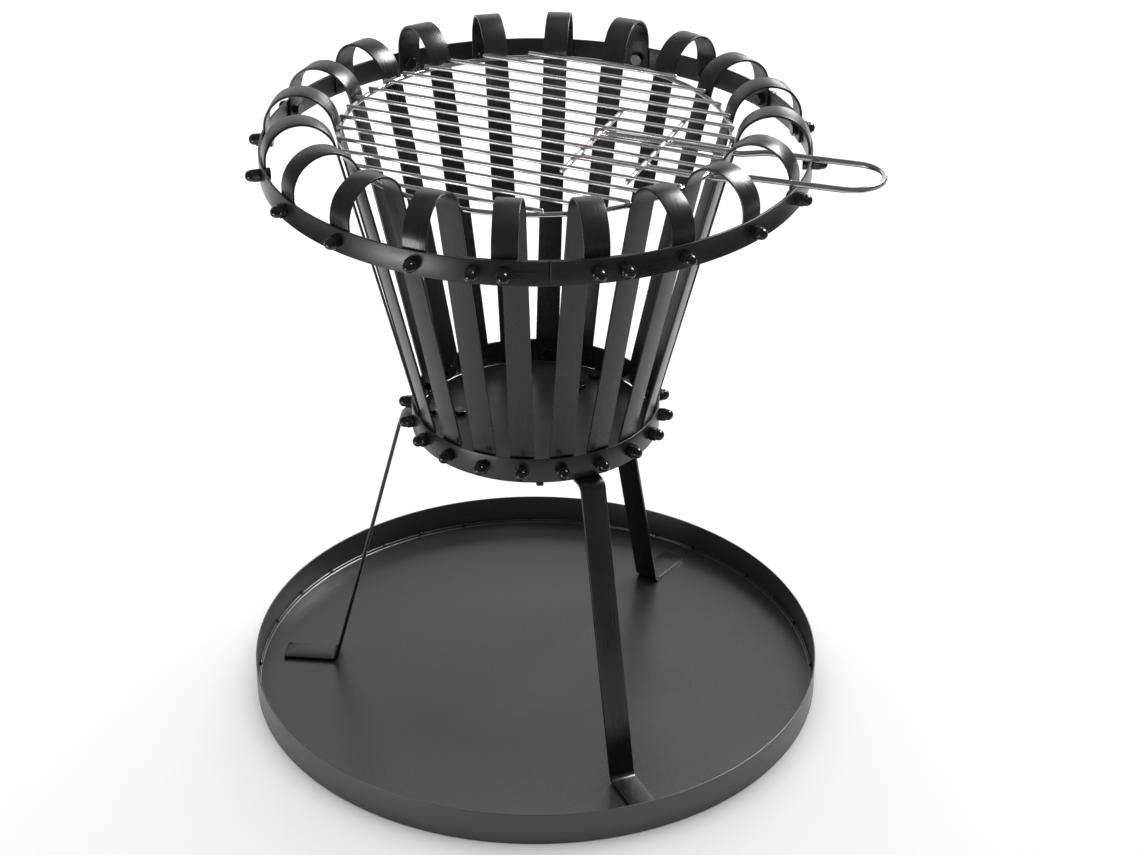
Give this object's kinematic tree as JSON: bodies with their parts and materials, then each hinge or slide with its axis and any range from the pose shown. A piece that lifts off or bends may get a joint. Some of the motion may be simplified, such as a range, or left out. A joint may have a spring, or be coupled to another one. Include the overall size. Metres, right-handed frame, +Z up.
{
  "type": "fire pit with grate",
  "caption": "Steel-strap fire basket on splayed bar legs in a loose round ash tray, with a round wire cooking grate and loop handle that lifts out.",
  "frame": {"origin": "centre of the ash tray's flat underside, on the ground", "axes": "+Z up; -Y faces the front, where the upper ring is joined; the grate's handle points 21 degrees clockwise from +X"},
  "size_m": [0.5177, 0.496, 0.5469],
  "materials": {
    "black_paint": "satin black heat-resistant paint",
    "tray_paint": "satin dark grey heat-resistant paint",
    "black_fastener": "glossy black plated steel",
    "grate_chrome": "bright plated wire"
  },
  "bodies": {
    "tray": {"tray_floor": "tray_paint", "tray_wall": "tray_paint"},
    "basket": {"upper_ring": "black_paint", "ring_splice": "black_paint", "lower_band": "black_paint", "base_plate": "black_paint", "strap_01": "black_paint", "strap_02": "black_paint", "strap_03": "black_paint", "strap_04": "black_paint", "strap_05": "black_paint", "strap_06": "black_paint", "strap_07": "black_paint", "strap_08": "black_paint", "strap_09": "black_paint", "strap_10": "black_paint", "strap_11": "black_paint", "strap_12": "black_paint", "strap_13": "black_paint", "strap_14": "black_paint", "strap_15": "black_paint", "strap_16": "black_paint", "strap_17": "black_paint", "strap_18": "black_paint", "strap_19": "black_paint", "strap_20": "black_paint", "leg_1": "black_paint", "leg_2": "black_paint", "leg_3": "black_paint", "ring_bolts": "black_fastener", "ring_cap_nuts": "black_fastener", "band_bolts": "black_fastener", "band_cap_nuts": "black_fastener", "leg_bolts": "black_fastener", "leg_nuts": "black_fastener"},
    "grate": {"grate_rim": "grate_chrome", "grate_wire_01": "grate_chrome", "grate_wire_02": "grate_chrome", "grate_wire_03": "grate_chrome", "grate_wire_04": "grate_chrome", "grate_wire_05": "grate_chrome", "grate_wire_06": "grate_chrome", "grate_wire_07": "grate_chrome", "grate_wire_08": "grate_chrome", "grate_wire_09": "grate_chrome", "grate_wire_10": "grate_chrome", "grate_wire_11": "grate_chrome", "grate_wire_12": "grate_chrome", "grate_wire_13": "grate_chrome", "grate_wire_14": "grate_chrome", "grate_wire_15": "grate_chrome", "grate_crossbar_1": "grate_chrome", "grate_crossbar_2": "grate_chrome", "grate_handle": "grate_chrome"}
  },
  "joints": [
    {"name": "basket_lift", "type": "slide", "parent": "tray", "child": "basket", "axis": [0, 0, 1], "range_m": [0, 0.1]},
    {"name": "grate_lift", "type": "slide", "parent": "basket", "child": "grate", "axis": [0, 0, 1], "range_m": [0, 0.12]}
  ]
}
